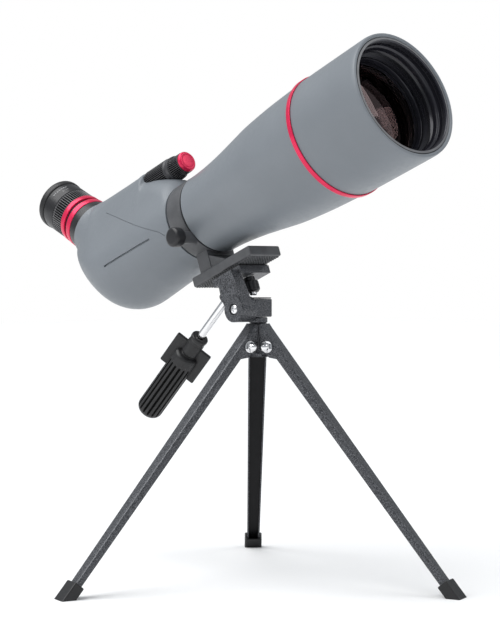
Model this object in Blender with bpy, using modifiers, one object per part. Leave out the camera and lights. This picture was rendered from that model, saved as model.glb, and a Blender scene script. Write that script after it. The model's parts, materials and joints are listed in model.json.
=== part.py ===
"""Angled spotting scope on a folding tabletop tripod, as separate solids at real size.

World frame: metres, +Z up, +X is the heading that the scope looks along, +Y is to its left.
The origin is at the middle of the model's box, on the ground under the tripod.
Dimensions below are in millimetres; the builder functions turn them into metres.

Four local frames carry the parts:
  tilt_axis     origin on the tilt hinge, X along the scope, Z away from the tripod
  optics_axis   origin in the hood's front rim, Z forward along the light path, X up, Y to the right
  eyepiece_axis origin where the eyepiece's axis meets the light path, Z out to the eye
  handle_axis   origin where the pan handle leaves its clamp, Z down the handle
"""

import math

import bmesh
import bpy
from mathutils import Matrix, Vector

MM = 0.001
MERGE = 0.00001
OVERRUN = 2.0

# Turned pieces: number of sides for large, medium, small and tiny diameters.
LARGE_SIDES = 28
MEDIUM_SIDES = 18
SMALL_SIDES = 14
TINY_SIDES = 10

# Clearance between pieces that touch or slide.
GAP = 0.3

# Whole object.
TILT_HEIGHT = 207.9
SCOPE_ELEVATION = 21.05
AXIS_ABOVE_TILT = 88.3
RIM_AHEAD_OF_TILT = 195.5
EYEPIECE_STATION = -315.0
EYEPIECE_ANGLE = 45.0

# Hood and objective, stations measured from the hood's front rim.
HOOD_LENGTH = 68.4
HOOD_BORE = 46.2
RIM_BORE = 45.0
TUBE_RADIUS = 45.2
TUBE_FRONT = -24.0
ACCENT_FRONT = -68.7
ACCENT_REAR = -72.5
LENS_RADIUS = 38.5
JOURNAL_RADIUS = 29.3
COLLAR_FRONT = -218.3
COLLAR_REAR = -235.0
COLLAR_RADIUS = 32.7
HOUSING_FRONT = -236.5
WALL = 2.8
SLOT_LOW = -6.7
SLOT_HIGH = -4.7
SLOT_FRONT = -259.0
SLOT_REAR = -318.5
SLOT_FRONT_DEPTH = 33.3
SLOT_REAR_DEPTH = 35.2

# Focus drive, above the light path.
SOCKET_BOSS_RADIUS = 24.4
FOCUS_HEIGHT = 50.7
FINE_KNOB_RADIUS = 8.6
COARSE_KNOB_RADIUS = 10.5
COARSE_KNOB_REAR = -275.3
SHAFT_RADIUS = 2.5
CARRIAGE_TRAVEL = 7.0

# Eyepiece, stations measured from where its axis meets the light path.
EYEPIECE_RADIUS = 21.2
EYEPIECE_BORE = 17.5
EYEPIECE_CORE = 17.2

# Foot plate of the collar and the tripod head's platform, both relative to the light path.
PLATE_TOP = -45.1
PLATE_BOTTOM = -53.9
PLATE_FRONT = -172.2
PLATE_REAR = -242.3
PLATE_HALF_WIDTH = 16.4
SCREW_STATION = -196.7
SCREW_RADIUS = 3.0

# Tripod head.
BARREL_RADIUS = 9.8
BARREL_OUTER = -26.0
BARREL_INNER = -9.6
BLOCK_HALF_WIDTH = 7.0
BLOCK_HALF_DEPTH = 8.3
BLOCK_TOP = 215.6
BLOCK_BOTTOM = 201.9
BOLT_RADIUS = 3.0
PAN_STUD_RADIUS = 3.0
STUD_TOP = 204.2

# Pan handle.
HANDLE_START = (-26.0, -14.0, 9.7)
HANDLE_SLOPE = 22.4
ROD_RADIUS = 3.1
GRIP_RADIUS = 10.5
WING_ROLL = 32.6
WING_SPAN = 16.2

# Tripod legs.
LEG_AZIMUTHS = {"left": -101.5, "right": 18.5, "rear": 138.5}
LEG_SPREAD = 40.0
PIVOT_RADIUS = 12.0
PIVOT_HEIGHT = 179.3
LEG_TOP = 17.0
LEG_SHEET = 1.2
LEG_WEB_TOP = 7.0
LEG_WEB_FOOT = 3.0
LEG_EDGE_TOP = -4.0
LEG_EDGE_BELOW_PIVOT = -0.4
LEG_EDGE_FOOT = -1.8
LEG_HALF_TOP = 7.3
LEG_HALF_FOOT = 5.2
LEG_FOOT = -226.0
CAP_WALL = 1.5
EAR_RADIUS = 4.8
EAR_THICKNESS = 11.4
PIN_RADIUS = 2.0

parts = bpy.data.collections.new("spotting_scope")
cutters = bpy.data.collections.new("cutters")


# ---------------------------------------------------------------- scene, frames and materials


def clear_scene():
    for obj in list(bpy.data.objects):
        bpy.data.objects.remove(obj)
    for collection in (parts, cutters):
        bpy.context.scene.collection.children.link(collection)
    cutters.hide_render = True


def material(name, colour, roughness=0.5, metallic=0.0, transmission=0.0):
    made = bpy.data.materials.get(name)
    if made:
        return made
    made = bpy.data.materials.new(name)
    made.use_nodes = True
    made.diffuse_color = (*colour, 1.0)
    shader = made.node_tree.nodes["Principled BSDF"]
    shader.inputs["Base Color"].default_value = (*colour, 1.0)
    shader.inputs["Roughness"].default_value = roughness
    shader.inputs["Metallic"].default_value = metallic
    shader.inputs["Transmission Weight"].default_value = transmission
    return made


def armour():
    return material("armour_rubber", (0.27, 0.30, 0.32), 0.45)


def black_plastic():
    return material("black_plastic", (0.03, 0.03, 0.033), 0.4)


def black_rubber():
    return material("black_rubber", (0.025, 0.025, 0.025), 0.7)


def black_metal():
    return material("black_anodised", (0.03, 0.03, 0.035), 0.35, 0.6)


def red_metal():
    return material("red_anodised", (0.65, 0.02, 0.06), 0.3, 0.7)


def cast_paint():
    return material("hammered_paint", (0.07, 0.075, 0.08), 0.4, 0.3)


def steel():
    return material("chromed_steel", (0.8, 0.8, 0.8), 0.15, 1.0)


def glass():
    return material("coated_glass", (0.9, 0.75, 0.8), 0.02, 0.0, 1.0)


def frame(name, parent=None, origin=(0, 0, 0), z_axis=(0, 0, 1), x_axis=(1, 0, 0)):
    """An empty at origin, in millimetres, whose Z and X run along the given directions."""
    empty = bpy.data.objects.new(name, None)
    empty.empty_display_size = 0.02
    z_axis = Vector(z_axis).normalized()
    x_axis = (Vector(x_axis) - z_axis * z_axis.dot(Vector(x_axis))).normalized()
    turned_axes = Matrix((x_axis, z_axis.cross(x_axis), z_axis)).transposed().to_4x4()
    empty.parent = parent
    empty.matrix_basis = Matrix.Translation(Vector(origin) * MM) @ turned_axes
    parts.objects.link(empty)
    return empty


# ---------------------------------------------------------------- shape tools


def add(name, mesh, parent, shade=None, at=(0, 0, 0)):
    """Puts a mesh under a frame; without a material it is a hidden cutter."""
    obj = bpy.data.objects.new(name, mesh)
    obj.parent = parent
    obj.location = Vector(at) * MM
    if shade is None:
        obj.hide_render = True
        obj.display_type = "WIRE"
        cutters.objects.link(obj)
    else:
        mesh.materials.append(shade)
        parts.objects.link(obj)
    return obj


def turned(name, profile, parent, shade=None, sides=SMALL_SIDES, at=(0, 0, 0)):
    """A turned piece about local Z. A profile that leaves the axis is closed into a ring."""
    mesh = bpy.data.meshes.new(name)
    points = [(radius * MM, 0, station * MM) for radius, station in profile]
    edges = [(i, i + 1) for i in range(len(points) - 1)]
    if profile[0][0] > 0:
        edges.append((len(points) - 1, 0))
    mesh.from_pydata(points, edges, [])
    obj = add(name, mesh, parent, shade, at)
    screw = obj.modifiers.new("turn", "SCREW")
    screw.steps = sides
    screw.render_steps = sides
    screw.use_merge_vertices = True
    screw.merge_threshold = MERGE
    screw.use_smooth_shade = True
    return obj


def rod(name, radius, top, bottom, parent, shade=None, sides=SMALL_SIDES, at=(0, 0, 0), chamfer=0.0):
    """A round bar along local Z from station top down to station bottom."""
    profile = [(0, top), (radius - chamfer, top), (radius, top - chamfer)]
    profile += [(radius, bottom + chamfer), (radius - chamfer, bottom), (0, bottom)]
    if chamfer == 0:
        profile = [(0, top), (radius, top), (radius, bottom), (0, bottom)]
    return turned(name, profile, parent, shade, sides, at)


def ring(name, outer, inner, top, bottom, parent, shade=None, sides=LARGE_SIDES, at=(0, 0, 0), chamfer=0.0):
    """A plain ring about local Z, with its outer edges chamfered."""
    profile = [(outer - chamfer, top), (outer, top - chamfer), (outer, bottom + chamfer)]
    profile += [(outer - chamfer, bottom), (inner, bottom), (inner, top)]
    if chamfer == 0:
        profile = [(outer, top), (outer, bottom), (inner, bottom), (inner, top)]
    return turned(name, profile, parent, shade, sides, at)


def box(name, low, high, parent, shade=None, bevel=0.0, segments=2, foot_scale=None):
    """A box between two corners. foot_scale gives the low-Z face its own X and Y limits."""
    mesh = bpy.data.meshes.new(name)
    shape = bmesh.new()
    bmesh.ops.create_cube(shape, size=1.0)
    for vert in shape.verts:
        limits_low, limits_high = low, high
        if foot_scale and vert.co.z < 0:
            limits_low = (*foot_scale[0], low[2])
            limits_high = (*foot_scale[1], high[2])
        corner = [limits_high[i] if vert.co[i] > 0 else limits_low[i] for i in range(3)]
        vert.co = Vector(corner) * MM
    shape.to_mesh(mesh)
    shape.free()
    obj = add(name, mesh, parent, shade)
    if bevel:
        rounding = obj.modifiers.new("edges", "BEVEL")
        rounding.width = bevel * MM
        rounding.segments = segments
    return obj


def outline_plate(name, outline, thickness, parent, shade=None, at=(0, 0, 0)):
    """A flat plate in local XZ, half its thickness to each side along Y."""
    curve = bpy.data.curves.new(name, "CURVE")
    curve.dimensions = "2D"
    curve.fill_mode = "BOTH"
    curve.extrude = thickness * MM / 2
    spline = curve.splines.new("POLY")
    spline.points.add(len(outline) - 1)
    for point, (x, z) in zip(spline.points, outline):
        point.co = (x * MM, z * MM, 0, 1)
    spline.use_cyclic_u = True
    flat = bpy.data.objects.new(name + "_outline", curve)
    bpy.context.scene.collection.objects.link(flat)
    graph = bpy.context.evaluated_depsgraph_get()
    mesh = bpy.data.meshes.new_from_object(flat.evaluated_get(graph))
    bpy.data.objects.remove(flat)
    shape = bmesh.new()
    shape.from_mesh(mesh)
    bmesh.ops.remove_doubles(shape, verts=shape.verts, dist=MERGE)
    bmesh.ops.rotate(shape, verts=shape.verts, matrix=Matrix.Rotation(math.pi / 2, 3, "X"))
    bmesh.ops.recalc_face_normals(shape, faces=shape.faces)
    shape.to_mesh(mesh)
    shape.free()
    return add(name, mesh, parent, shade, at)


def boolean(target, other, operation):
    modifier = target.modifiers.new(other.name, "BOOLEAN")
    modifier.operation = operation
    modifier.solver = "EXACT"
    modifier.object = other
    return target


def cut(target, *tools):
    for tool in tools:
        boolean(target, tool, "DIFFERENCE")


def join(target, *others):
    for other in others:
        boolean(target, other, "UNION")


def arc(centre, radius, start, end, count):
    """Points of an arc in degrees, as (radius, station) or (x, z) pairs."""
    turns = [math.radians(start + (end - start) * i / (count - 1)) for i in range(count)]
    return [(centre[0] + radius * math.cos(t), centre[1] + radius * math.sin(t)) for t in turns]


# ---------------------------------------------------------------- hood, tube and objective


def make_hood(optics):
    hood_profile = [(46.6, 0), (47.8, -0.5), (48.7, -2.2), (47.9, -35), (47.3, -HOOD_LENGTH)]
    hood_profile += [(46.9, -HOOD_LENGTH), (46.9, ACCENT_REAR + 0.6), (HOOD_BORE, ACCENT_REAR + 0.6)]
    hood_profile += [(HOOD_BORE, -3.2), (RIM_BORE, -3.2), (RIM_BORE, -1.0)]
    turned("sliding_hood", hood_profile, optics, armour(), LARGE_SIDES)
    liner = [(44.7, -0.9), (44.7, -3.5), (45.9, -3.5), (45.9, -12.9), (40.2, -12.9), (40.2, -11.6)]
    liner += [(41.2, -8.2), (42.3, -7.4), (42.3, -0.9)]
    turned("hood_liner_ring", liner, optics, black_metal(), LARGE_SIDES)
    ring("accent_ring", 48.2, 47.2, ACCENT_FRONT, ACCENT_REAR, optics, red_metal(), chamfer=0.2)


def make_tube(optics):
    outside = [(TUBE_RADIUS, TUBE_FRONT), (TUBE_RADIUS, -26.3), (44.2, -26.3), (44.2, -29.1)]
    outside += [(TUBE_RADIUS, -29.1), (TUBE_RADIUS, ACCENT_REAR - GAP), (46.5, ACCENT_REAR - GAP - 0.5)]
    outside += [(46.5, -78), (45.0, -107), (42.6, -134), (40.5, -148), (38.0, -163), (36.0, -176)]
    outside += [(34.3, -190), (33.0, -205), (32.6, -216.5)]
    outside += [(JOURNAL_RADIUS, -217.5), (JOURNAL_RADIUS, HOUSING_FRONT + GAP), (27.0, HOUSING_FRONT + GAP)]
    outside += [(27.0, -242.5)]
    inside = [(24.6, -242.5), (24.6, -226), (31.6, -190), (35.2, -163), (39.8, -134)]
    inside += [(42.6, -100), (42.6, TUBE_FRONT)]
    turned("front_tube", outside + inside, optics, armour(), LARGE_SIDES)
    ring("hood_guide_seal", 45.8, 44.5, -26.6, -28.8, optics, black_rubber())
    ring("front_baffle", 41.2, 34.5, -109, -110.5, optics, black_metal(), MEDIUM_SIDES)
    ring("rear_baffle", 33.2, 25.0, -170, -171.5, optics, black_metal(), MEDIUM_SIDES)


def make_objective(optics):
    cell = [(44.9, -13.2), (44.9, TUBE_FRONT + GAP), (42.3, TUBE_FRONT + GAP), (42.3, -46)]
    cell += [(36.5, -46), (36.5, -44.2), (38.8, -44.2), (38.8, -29.0), (40.0, -29.0), (40.0, -13.2)]
    turned("objective_cell", cell, optics, black_metal(), LARGE_SIDES)
    retainer = [(39.7, -23.2), (39.7, -28.7), (36.8, -28.7), (38.9, -23.2)]
    turned("lens_retaining_ring", retainer, optics, black_metal(), LARGE_SIDES)
    front = [(0, -26.4), (13, -26.7), (25, -27.6), (34, -28.8), (LENS_RADIUS, -29.3)]
    front += [(LENS_RADIUS, -33.3), (25, -34.2), (0, -34.8)]
    turned("objective_lens_front", front, optics, glass(), LARGE_SIDES)
    ring("lens_spacer_ring", LENS_RADIUS, 36.8, -33.6, -34.9, optics, black_metal())
    rear = [(0, -36.6), (25, -36.0), (LENS_RADIUS, -35.2), (LENS_RADIUS, -43.9), (0, -43.9)]
    turned("objective_lens_rear", rear, optics, glass(), LARGE_SIDES)


# ---------------------------------------------------------------- prism housing and what it holds

# Stations of the housing: station, height and radius of its round belly, height and radius of its ridge.
HOUSING_STATIONS = [
    (-236.5, 0.0, 32.5, 2.0, 31.0),
    (-242.0, 0.0, 33.2, 10.0, 29.3),
    (-252.0, -0.8, 34.2, 18.5, 26.5),
    (-262.0, -1.4, 35.0, 24.5, 24.6),
    (-273.0, -2.2, 35.7, 30.0, 22.7),
    (-276.5, -2.4, 35.9, 42.0, 18.0),
    (-284.0, -2.8, 36.0, 46.2, 16.4),
    (-300.0, -3.6, 36.4, 46.5, 16.0),
    (-318.0, -4.6, 36.4, 45.5, 17.0),
    (-331.0, -3.0, 35.6, 43.0, 19.5),
    (-342.0, 1.2, 34.0, 40.0, 22.0),
    (-352.0, 8.0, 30.6, 34.0, 22.0),
    (-361.0, 15.6, 26.0, 29.5, 21.0),
    (-368.5, 21.8, 20.0, 28.5, 17.0),
    (-374.0, 26.6, 12.8, 29.0, 12.0),
    (-377.2, 29.4, 6.0, 30.5, 5.5),
]
BELLY_POINTS = 21
RIDGE_POINTS = 9


def hull_section(belly, belly_radius, ridge, ridge_radius):
    """The outline round two circles on the middle line, as (up, right) points."""
    lean = math.degrees(math.acos((belly_radius - ridge_radius) / (ridge - belly)))
    top = arc((ridge, 0), ridge_radius, -lean, lean, RIDGE_POINTS)
    bottom = arc((belly, 0), belly_radius, lean, 360 - lean, BELLY_POINTS)
    return top + bottom


def housing_loft(name, parent, shade, stations, inset=0.0):
    mesh = bpy.data.meshes.new(name)
    shape = bmesh.new()
    rings = []
    for station, belly, belly_radius, ridge, ridge_radius in stations:
        outline = hull_section(belly, belly_radius - inset, ridge, ridge_radius - inset)
        rings.append([shape.verts.new(Vector((up, right, station)) * MM) for up, right in outline])
    count = len(rings[0])
    for first, second in zip(rings, rings[1:]):
        for i in range(count):
            j = (i + 1) % count
            shape.faces.new((first[i], first[j], second[j], second[i]))
    shape.faces.new(rings[0])
    shape.faces.new(rings[-1])
    bmesh.ops.recalc_face_normals(shape, faces=shape.faces)
    for face in shape.faces:
        face.smooth = len(face.verts) == 4
    shape.to_mesh(mesh)
    shape.free()
    return add(name, mesh, parent, shade)


def make_housing(optics, eyepiece):
    housing = housing_loft("prism_housing", optics, armour(), HOUSING_STATIONS)
    cavity_stations = [row for row in HOUSING_STATIONS if -371 < row[0] < -240]
    cavity = housing_loft("housing_cavity", optics, None, cavity_stations, WALL)
    saddle = (FOCUS_HEIGHT, 0, 0)
    guard = rod("saddle_wall", COARSE_KNOB_RADIUS + 4.6, -232, COARSE_KNOB_REAR - 5.0, optics, at=saddle)
    cut(cavity, guard)
    pocket = rod("knob_pocket", COARSE_KNOB_RADIUS + 0.7, -230, COARSE_KNOB_REAR - 0.5, optics, at=saddle)
    shaft_hole = rod("shaft_hole", SHAFT_RADIUS + GAP, -270, -300, optics, sides=TINY_SIDES, at=saddle)
    bore = rod("front_bore", 27.3, HOUSING_FRONT + OVERRUN, -246, optics, sides=LARGE_SIDES)
    socket = rod("eyepiece_socket", 22.2, 90, 47.5, eyepiece, sides=LARGE_SIDES)
    boss = rod("socket_boss", SOCKET_BOSS_RADIUS, 61.5, 25, eyepiece, sides=LARGE_SIDES)
    join(housing, boss)
    cut(housing, cavity, pocket, shaft_hole, bore, socket)
    for side in (-1, 1):
        low_side, high_side = sorted((side * SLOT_FRONT_DEPTH, side * 40))
        rear_low, rear_high = sorted((side * SLOT_REAR_DEPTH, side * 40))
        low = (SLOT_LOW, low_side, SLOT_REAR)
        high = (SLOT_HIGH, high_side, SLOT_FRONT)
        rear_limits = ((SLOT_LOW, rear_low), (SLOT_HIGH, rear_high))
        cut(housing, box(f"trim_slot_{side + 1}", low, high, optics, foot_scale=rear_limits))


def make_prism(optics):
    cage = box("prism_cage", (-22.5, -14, -338), (-19.5, 14, -289), optics, black_metal())
    front_plate = box("cage_front_plate", (-21, -14, -291), (21, 14, -289), optics)
    rear_plate = box("cage_rear_plate", (-21, -14, -338), (2, 14, -336), optics)
    light_window = rod("cage_window", 11, -280, -300, optics, sides=MEDIUM_SIDES)
    cut(front_plate, light_window)
    join(cage, front_plate, rear_plate)
    outline = [(-19.2, -293), (17, -293), (17, -320), (6, -333), (-19.2, -333)]
    outline_plate("erecting_prism", outline, 25, optics, glass())


def make_focus(optics):
    centre = (FOCUS_HEIGHT, 0, 0)
    cap = [(0, -229.4), (7.4, -229.8), (8.4, -231.0), (8.4, -233.0), (0, -233.0)]
    turned("fine_knob_cap", cap, optics, red_metal(), MEDIUM_SIDES, centre)
    fine = [(FINE_KNOB_RADIUS, -233.3), (FINE_KNOB_RADIUS, -241.6), (9.8, -243.0), (9.8, -244.9)]
    fine += [(SHAFT_RADIUS + GAP, -244.9), (SHAFT_RADIUS + GAP, -233.3)]
    turned("fine_focus_knob", fine, optics, black_plastic(), MEDIUM_SIDES, centre)
    coarse = [(10.2, -245.2), (10.2, -248.4), (9.6, -248.8), (COARSE_KNOB_RADIUS, -249.6)]
    coarse += [(COARSE_KNOB_RADIUS, COARSE_KNOB_REAR)]
    coarse += [(SHAFT_RADIUS + GAP, COARSE_KNOB_REAR), (SHAFT_RADIUS + GAP, -245.2)]
    turned("coarse_focus_knob", coarse, optics, black_plastic(), MEDIUM_SIDES, centre)
    rod("focus_screw", SHAFT_RADIUS, -233.6, -326, optics, steel(), TINY_SIDES, centre)
    make_carriage(optics)


def make_carriage(optics):
    """The lens carrier that hangs from the focus screw's nut."""
    carriage = ring("focus_carriage", 16.5, 14.3, -270, -279, optics, black_metal(), MEDIUM_SIDES)
    nut_at = (FOCUS_HEIGHT, 0, 0)
    nut = rod("carriage_nut", 6.2, -297, -305, optics, sides=SMALL_SIDES, at=nut_at)
    drop = box("carriage_drop", (28, -3, -305), (46, 3, -300), optics)
    beam = box("carriage_beam", (26, -3, -305), (30, 3, -272), optics)
    post = box("carriage_post", (15.4, -3, -277), (28, 3, -272), optics)
    thread = rod("carriage_thread", SHAFT_RADIUS + GAP, -290, -310, optics, sides=TINY_SIDES, at=nut_at)
    join(nut, drop, beam, post)
    join(carriage, nut)
    cut(carriage, thread)
    lens = [(0, -272.4), (9, -272.9), (14.0, -273.6), (14.0, -276.2), (9, -275.6), (0, -275.2)]
    turned("focusing_lens", lens, optics, glass(), MEDIUM_SIDES)


# ---------------------------------------------------------------- eyepiece


def make_eyepiece(eyepiece):
    ring("eyepiece_base_collar", 21.9, EYEPIECE_BORE, 71.7, 50, eyepiece, black_metal())
    ring("eyepiece_lock_ring", 22.1, EYEPIECE_BORE, 77.4, 72.0, eyepiece, red_metal(), chamfer=0.5)
    core = [(14.2, 112.0), (EYEPIECE_CORE, 112.0), (EYEPIECE_CORE, 80.7), (20.3, 80.7), (20.3, 77.7)]
    core += [(EYEPIECE_CORE, 77.7), (EYEPIECE_CORE, 48.5), (14.2, 48.5)]
    turned("eyepiece_barrel", core, eyepiece, black_metal(), LARGE_SIDES)
    ring("eyepiece_accent_ring", 21.7, EYEPIECE_BORE, 86.0, 81.0, eyepiece, red_metal(), chamfer=0.5)
    ring("zoom_ring", EYEPIECE_RADIUS, EYEPIECE_BORE, 99.4, 86.3, eyepiece, black_rubber())
    field = [(0, 56.5), (13.9, 54.5), (13.9, 51.0), (0, 50.5)]
    turned("field_lens", field, eyepiece, glass(), MEDIUM_SIDES)
    ring("zoom_lens_carriage", 13.9, 10.6, 82, 73, eyepiece, black_metal(), MEDIUM_SIDES)
    zoom = [(0, 79.2), (10.3, 78.0), (10.3, 75.5), (0, 74.8)]
    turned("zoom_lens", zoom, eyepiece, glass(), MEDIUM_SIDES)
    eye = [(0, 108.4), (8, 107.9), (13.9, 106.2), (13.9, 102.5), (0, 101.4)]
    turned("eye_lens", eye, eyepiece, glass(), MEDIUM_SIDES)
    ring("eye_lens_retainer", 13.9, 11.5, 111.6, 108.8, eyepiece, black_metal(), MEDIUM_SIDES)


def make_eyecup(eyepiece):
    band = [(EYEPIECE_RADIUS, 113.5), (EYEPIECE_RADIUS, 99.7)]
    band += [(EYEPIECE_BORE, 99.7), (EYEPIECE_BORE, 101.4), (19.6, 101.4), (19.6, 113.5)]
    turned("eyecup_twist_sleeve", band, eyepiece, black_plastic(), LARGE_SIDES)
    cup = [(16.6, 121.6), (19.4, 121.6)]
    cup += arc((19.4, 118.8), 2.8, 60, -20, 3)
    cup += [(22.0, 114.6), (21.4, 113.8), (19.3, 113.8), (19.3, 102.6), (EYEPIECE_BORE, 102.6)]
    cup += [(EYEPIECE_BORE, 112.8), (15.6, 114.2)]
    turned("eyecup", cup, eyepiece, black_rubber(), LARGE_SIDES)


# ---------------------------------------------------------------- collar with its foot plate


def make_collar(optics):
    collar = rod(
        "mount_collar", COLLAR_RADIUS, COLLAR_FRONT, COLLAR_REAR, optics, black_metal(), LARGE_SIDES, chamfer=0.8
    )
    plate_low = (PLATE_BOTTOM, -PLATE_HALF_WIDTH, PLATE_REAR)
    plate_high = (PLATE_TOP, PLATE_HALF_WIDTH, PLATE_FRONT)
    plate = box("foot_plate", plate_low, plate_high, optics, bevel=1.6)
    post = box("foot_post", (PLATE_TOP - 3, -14, -233), (-27, 14, -220), optics)
    gusset_outline = [(PLATE_TOP - 2, -222), (PLATE_TOP - 2, -201), (-43.5, -204), (-39, -212)]
    gusset_outline += [(-35, -218.8), (-33, -222)]
    gusset = outline_plate("foot_gusset", gusset_outline, 27, optics)
    boss_axis = frame("clamp_axis", optics, (-19.5, 0, -221.0), (0, 1, 0), (0, 0, 1))
    boss = rod("clamp_boss", 5.0, 35.5, 22, boss_axis, chamfer=0.6)
    bore_ends = (COLLAR_FRONT + OVERRUN, COLLAR_REAR - OVERRUN)
    journal = rod("collar_bore", JOURNAL_RADIUS + GAP, *bore_ends, optics, sides=LARGE_SIDES)
    screw_hole = rod("clamp_hole", 2.5 + GAP, 40, 20, boss_axis, sides=TINY_SIDES)
    tube_room = rod("tube_room", 33.3, -206, COLLAR_FRONT + 0.4, optics, sides=LARGE_SIDES)
    join(collar, post, gusset, plate, boss)
    cut(collar, tube_room, journal, screw_hole)
    plate_axis = frame("camera_screw_axis", optics, (PLATE_BOTTOM, 0, SCREW_STATION), (1, 0, 0), (0, 0, 1))
    cut(collar, rod("camera_thread", SCREW_RADIUS + GAP, 6.6, -OVERRUN, plate_axis, sides=TINY_SIDES))
    knob = [(0, 46.2), (5.4, 46.2), (7.2, 45.4), (7.7, 44.2), (7.7, 38.8), (7.2, 37.4), (4.4, 36.2)]
    knob += [(2.5, 36.2), (2.5, 28.4), (0, 28.4)]
    turned("collar_clamp_knob", knob, boss_axis, black_plastic(), SMALL_SIDES)
    return plate_axis


def make_camera_screw(plate_axis):
    """The screw through the platform, with its knob below."""
    pad = box("platform_pad", (-23, -15, -1.0), (8.2, 15, -GAP), plate_axis, black_rubber())
    cut(pad, rod("pad_hole", SCREW_RADIUS + GAP, OVERRUN, -OVERRUN - 1, plate_axis, sides=TINY_SIDES))
    rod("camera_screw", SCREW_RADIUS, 5.6, -23.0, plate_axis, steel(), chamfer=0.5)
    knob = [(5.0, -12.0), (6.2, -12.8), (6.2, -19.2), (4.8, -20.6)]
    knob += [(SCREW_RADIUS + GAP, -20.6), (SCREW_RADIUS + GAP, -12.0)]
    turned("camera_screw_knob", knob, plate_axis, black_plastic(), MEDIUM_SIDES)


# ---------------------------------------------------------------- tripod head and handle


def make_head(tilt, handle, plate_axis):
    platform_top = AXIS_ABOVE_TILT + PLATE_BOTTOM - 1.3
    platform_low = (-25.5, -15.5, platform_top - 6.2)
    platform_high = (7.6, 15.5, platform_top)
    head = box("tilt_head", platform_low, platform_high, tilt, cast_paint(), bevel=1.2)
    arm_outline = [(-9.0, 0), (9.5, 0), (8.6, 12), (5.6, platform_top - 3)]
    arm_outline += [(-14.5, platform_top - 3), (-12.0, 22), (-12.5, 12)]
    arm = outline_plate("head_arm", arm_outline, 9.4, tilt, at=(0, -18.7, 0))
    barrel_axis = frame("barrel_axis", tilt, (0, 0, 0), (0, 1, 0), (1, 0, 0))
    barrel = rod("head_barrel", BARREL_RADIUS, BARREL_INNER, BARREL_OUTER, barrel_axis, chamfer=0.6)
    counterbore = rod("bolt_counterbore", 4.3, BARREL_OUTER + 2.4, BARREL_OUTER - OVERRUN, barrel_axis)
    bolt_hole = rod("bolt_hole", BOLT_RADIUS + GAP, 0, BARREL_OUTER - OVERRUN, barrel_axis)
    lug = rod("handle_lug", 6.6, 22.0, 10.4, handle, chamfer=0.8)
    lug_bore = rod("handle_bore", ROD_RADIUS + GAP, 19, 0, handle)
    slit = box("clamp_slit", (0, -0.6, 6), (9, 0.6, 17), handle)
    screw_window = rod("platform_hole", SCREW_RADIUS + GAP, 3, -9, plate_axis)
    join(head, arm, barrel, lug)
    cut(head, counterbore, bolt_hole, lug_bore, slit, screw_window)


def make_handle(handle):
    """Rod, grip and wings. Stations fall towards the grip's end."""
    rod("handle_rod", ROD_RADIUS, 18.5, -48, handle, steel(), chamfer=0.3)
    grip_profile = [(0, -48.6), (ROD_RADIUS + GAP, -48.6), (ROD_RADIUS + GAP, -32.0), (6.4, -32.0)]
    grip_profile += [(7.0, -32.6), (7.0, -35.0), (6.7, -35.6), (6.9, -50.0), (8.6, -51.5)]
    grip_profile += [(GRIP_RADIUS, -53.5), (GRIP_RADIUS, -117.5)]
    grip_profile += arc((GRIP_RADIUS - 4.5, -117.5), 4.5, -16, -80, 4)
    grip_profile += [(0, -122.2)]
    grip = turned("handle_grip", grip_profile, handle, black_plastic())
    roll = math.radians(WING_ROLL)
    wing_axis = frame("wing_axis", handle, (0, 0, 0), (0, 0, 1), (math.cos(roll), math.sin(roll), 0))
    for side in (-1, 1):
        inner, outer = sorted((side * 5.0, side * WING_SPAN))
        wing = box(f"grip_wing_{side + 1}", (inner, -1.5, -72.4), (outer, 1.5, -41.4), wing_axis, bevel=0.9)
        join(grip, wing)


def make_pan_block(ground, tilt_height):
    low = (-BLOCK_HALF_WIDTH, -BLOCK_HALF_DEPTH, BLOCK_BOTTOM)
    high = (BLOCK_HALF_WIDTH, BLOCK_HALF_DEPTH, BLOCK_TOP)
    block = box("pan_block", low, high, ground, cast_paint(), bevel=0.7)
    bolt_axis = frame("tilt_bolt_axis", ground, (0, 0, tilt_height), (0, 1, 0), (1, 0, 0))
    bolt_hole = rod("block_bolt_hole", BOLT_RADIUS + GAP, 12, -12, bolt_axis)
    stud_hole = rod("block_stud_hole", PAN_STUD_RADIUS + GAP, STUD_TOP + GAP, BLOCK_BOTTOM - OVERRUN, ground)
    cut(block, bolt_hole, stud_hole)
    cap_low = (-BLOCK_HALF_WIDTH + 0.4, -BLOCK_HALF_DEPTH + 0.4, BLOCK_TOP + GAP)
    cap_high = (BLOCK_HALF_WIDTH - 0.4, BLOCK_HALF_DEPTH - 0.4, BLOCK_TOP + GAP + 0.9)
    box("pan_block_cap", cap_low, cap_high, ground, black_plastic(), bevel=0.4)
    head = [(0, -23.9), (3.9, -23.9), (3.9, -25.4), (3.0, -26.2), (0, -26.6)]
    bolt = [(0, BLOCK_HALF_DEPTH), (BOLT_RADIUS, BLOCK_HALF_DEPTH), (BOLT_RADIUS, -23.9)] + head[1:]
    turned("tilt_bolt", bolt, bolt_axis, steel())
    ring("tilt_washer", 7.6, BOLT_RADIUS + GAP, -8.6, -9.3, bolt_axis, steel(), SMALL_SIDES)


# ---------------------------------------------------------------- crown and legs


def leg_frames(ground, azimuth):
    """Two frames on a leg's pivot: one upright, and one that leans with the spread leg."""
    turn = math.radians(azimuth)
    outward = Vector((math.cos(turn), math.sin(turn), 0))
    pivot = outward * PIVOT_RADIUS + Vector((0, 0, PIVOT_HEIGHT))
    lean = math.radians(LEG_SPREAD)
    up_leg = Vector((0, 0, math.cos(lean))) - outward * math.sin(lean)
    upright = frame(f"ear_axis_{azimuth:.0f}", ground, pivot, (0, 0, 1), outward)
    leaning = frame(f"leg_axis_{azimuth:.0f}", ground, pivot, up_leg, outward)
    return upright, leaning


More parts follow.
